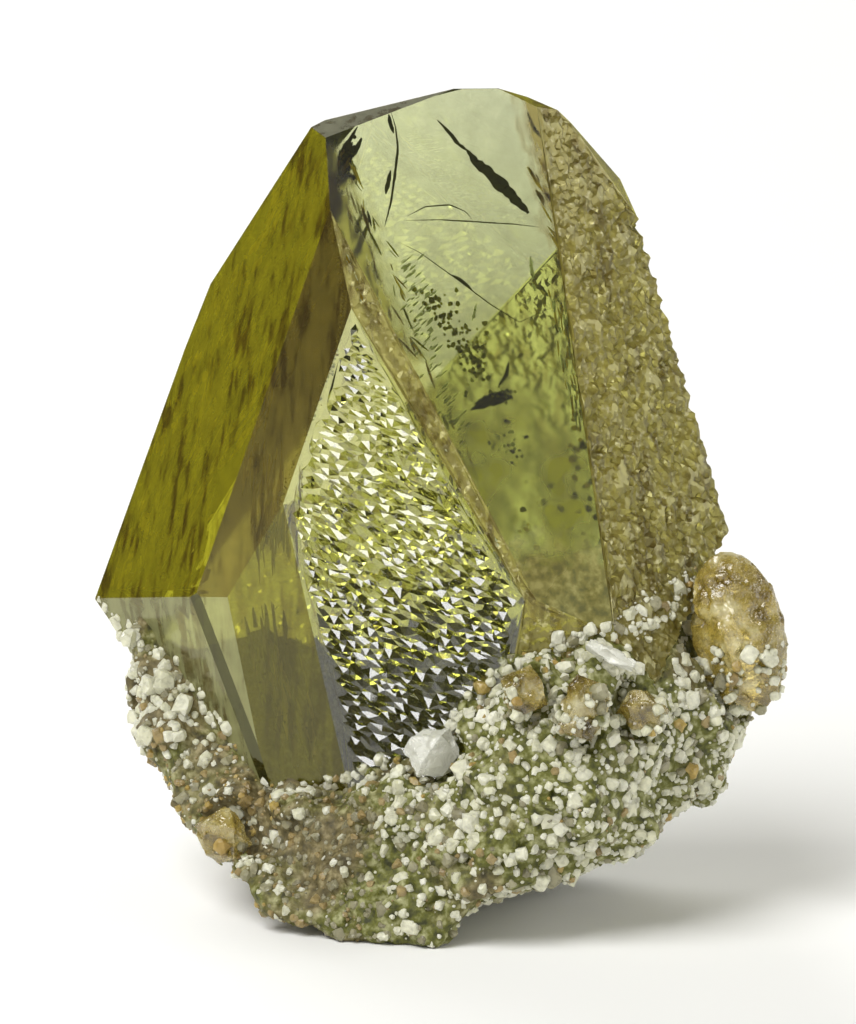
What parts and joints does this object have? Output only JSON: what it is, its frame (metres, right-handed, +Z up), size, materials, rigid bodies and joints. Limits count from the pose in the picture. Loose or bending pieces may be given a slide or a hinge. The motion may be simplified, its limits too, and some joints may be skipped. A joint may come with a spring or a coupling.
{
  "type": "titanite crystal on matrix",
  "caption": "Wedge-shaped clear green titanite crystal with one etched face, rooted in a lump of granular feldspar and chlorite rock that stands on its flat foot.",
  "frame": {"origin": "centre of the bounding box, on the surface that the specimen stands on", "axes": "+Z up, -Y towards the viewer of the display side, +X to the viewer's right"},
  "size_m": [0.0244, 0.0155, 0.0287],
  "materials": {
    "titanite": "clear yellow-green gem crystal, one face etched, one side granular",
    "rock": "granular white feldspar with green chlorite, matt",
    "honey_titanite": "honey yellow, translucent",
    "adularia": "milky white, translucent"
  },
  "bodies": {
    "root": {"titanite_crystal": "titanite", "matrix_rock": "rock", "honey_titanite_right": "honey_titanite", "honey_titanite_middle": "honey_titanite", "honey_titanite_left": "honey_titanite", "honey_titanite_small": "honey_titanite", "honey_titanite_lower": "honey_titanite", "adularia_blade": "adularia", "adularia_block": "adularia"}
  },
  "joints": []
}
